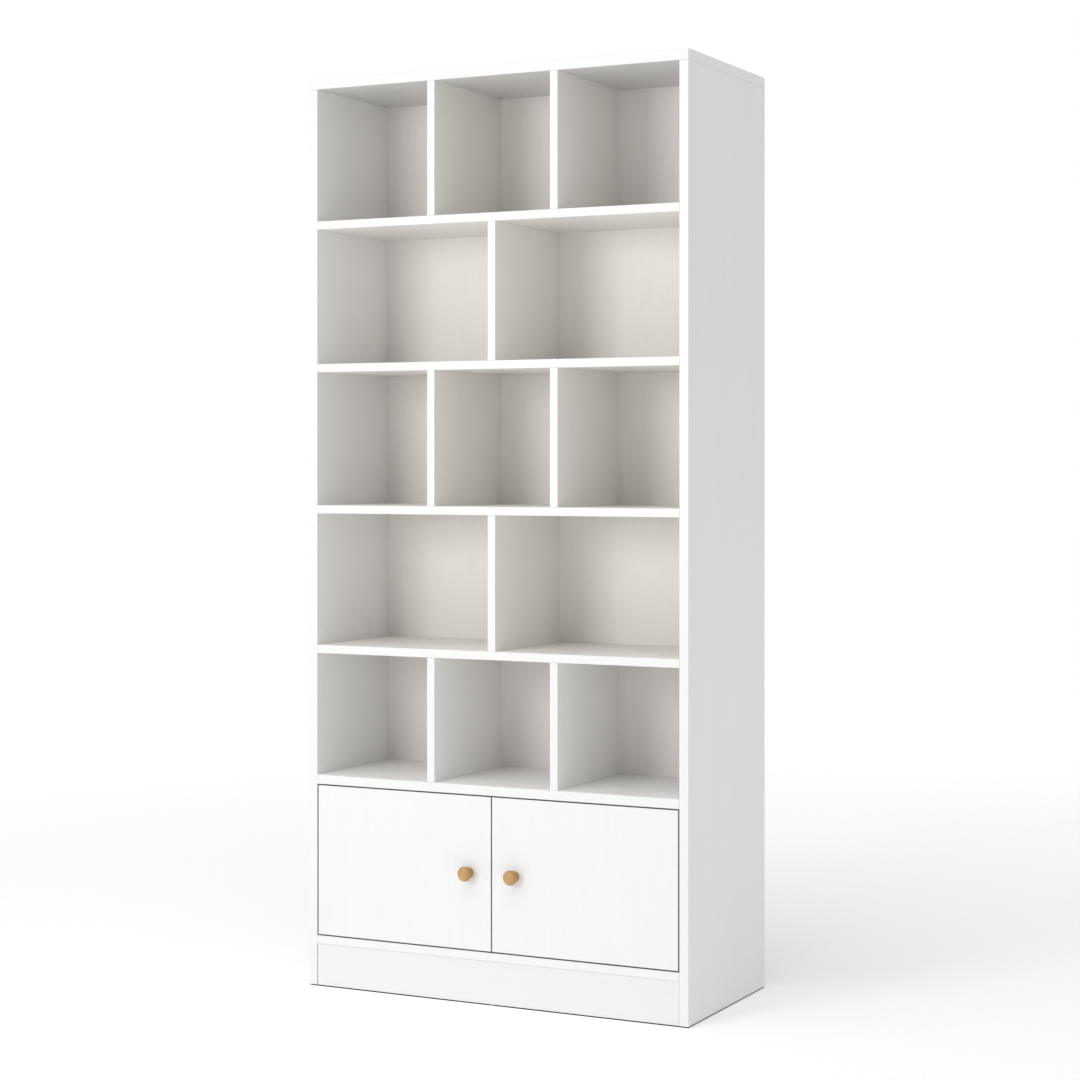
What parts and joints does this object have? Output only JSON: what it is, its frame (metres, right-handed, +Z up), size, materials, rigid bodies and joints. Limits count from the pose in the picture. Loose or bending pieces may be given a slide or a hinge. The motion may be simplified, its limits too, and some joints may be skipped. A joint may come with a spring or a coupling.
{
  "type": "bookcase with cabinet doors",
  "caption": "Tall free-standing white bookcase: rows of staggered open cubbies over a base cabinet with inset doors on concealed hinges and round wooden knobs.",
  "frame": {"origin": "on the floor, under the middle of the bookcase's bounding box, knobs included", "axes": "+Z up, the front with the doors faces -Y, +X to the right as seen from the front"},
  "size_m": [0.8, 0.403, 1.786],
  "materials": {
    "carcass_board": "white melamine-faced particle board with a faint wood grain, banded edges",
    "door_board": "smooth white melamine-faced particle board, banded edges",
    "back_hardboard": "hardboard, white grained foil in front, bare brown behind",
    "knob_wood": "turned beech, clear satin lacquer",
    "dowel_wood": "fluted beech, raw",
    "nickel_plated_steel": "nickel plated",
    "zinc_plated_steel": "zinc plated",
    "zinc_casting": "raw zinc casting",
    "catch_steel": "zinc plated, satin",
    "bracket_steel": "white powder coat",
    "white_plastic": "moulded, matt",
    "glide_plastic": "moulded, matt"
  },
  "bodies": {
    "carcass": {"back_joining_strips": "white_plastic", "back_nails": "zinc_plated_steel", "back_sheet_lower": "back_hardboard", "back_sheet_middle": "back_hardboard", "back_sheet_upper": "back_hardboard", "bottom_panel": "carcass_board", "cabinet_partition": "carcass_board", "cam_bolts": "zinc_plated_steel", "cam_locks": "zinc_casting", "catch_magnets": "catch_steel", "cover_caps": "white_plastic", "divider_1_left": "carcass_board", "divider_1_right": "carcass_board", "divider_2": "carcass_board", "divider_3_left": "carcass_board", "divider_3_right": "carcass_board", "divider_4": "carcass_board", "divider_5_left": "carcass_board", "divider_5_right": "carcass_board", "floor_glides": "glide_plastic", "hinge_pins": "nickel_plated_steel", "hinge_plate_screws": "zinc_plated_steel", "kick_board": "carcass_board", "left_catch": "white_plastic", "left_lower_hinge_arm": "nickel_plated_steel", "left_lower_hinge_plate": "nickel_plated_steel", "left_upper_hinge_arm": "nickel_plated_steel", "left_upper_hinge_plate": "nickel_plated_steel", "panel_screws": "zinc_plated_steel", "plinth_rear_rail": "carcass_board", "right_catch": "white_plastic", "right_lower_hinge_arm": "nickel_plated_steel", "right_lower_hinge_plate": "nickel_plated_steel", "right_upper_hinge_arm": "nickel_plated_steel", "right_upper_hinge_plate": "nickel_plated_steel", "shelf_1": "carcass_board", "shelf_2": "carcass_board", "shelf_3": "carcass_board", "shelf_4": "carcass_board", "shelf_5": "carcass_board", "side_panel_left": "carcass_board", "side_panel_right": "carcass_board", "top_panel": "carcass_board", "wall_bracket_screws": "zinc_plated_steel", "wall_brackets": "bracket_steel", "wood_dowels": "dowel_wood"},
    "left_door": {"left_door": "door_board", "left_hinge_cup_screws": "zinc_plated_steel", "left_knob": "knob_wood", "left_knob_screw": "zinc_plated_steel", "left_lower_hinge_cup": "nickel_plated_steel", "left_strike_plate": "catch_steel", "left_upper_hinge_cup": "nickel_plated_steel"},
    "right_door": {"right_door": "door_board", "right_hinge_cup_screws": "zinc_plated_steel", "right_knob": "knob_wood", "right_knob_screw": "zinc_plated_steel", "right_lower_hinge_cup": "nickel_plated_steel", "right_strike_plate": "catch_steel", "right_upper_hinge_cup": "nickel_plated_steel"}
  },
  "joints": [
    {"name": "left_door_hinge", "type": "hinge", "parent": "carcass", "child": "left_door", "pos_m": [-0.362, -0.1655, 0.245], "axis": [0, 0, -1], "range_deg": [0, 100]},
    {"name": "right_door_hinge", "type": "hinge", "parent": "carcass", "child": "right_door", "pos_m": [0.362, -0.1655, 0.245], "axis": [0, 0, 1], "range_deg": [0, 100]}
  ]
}
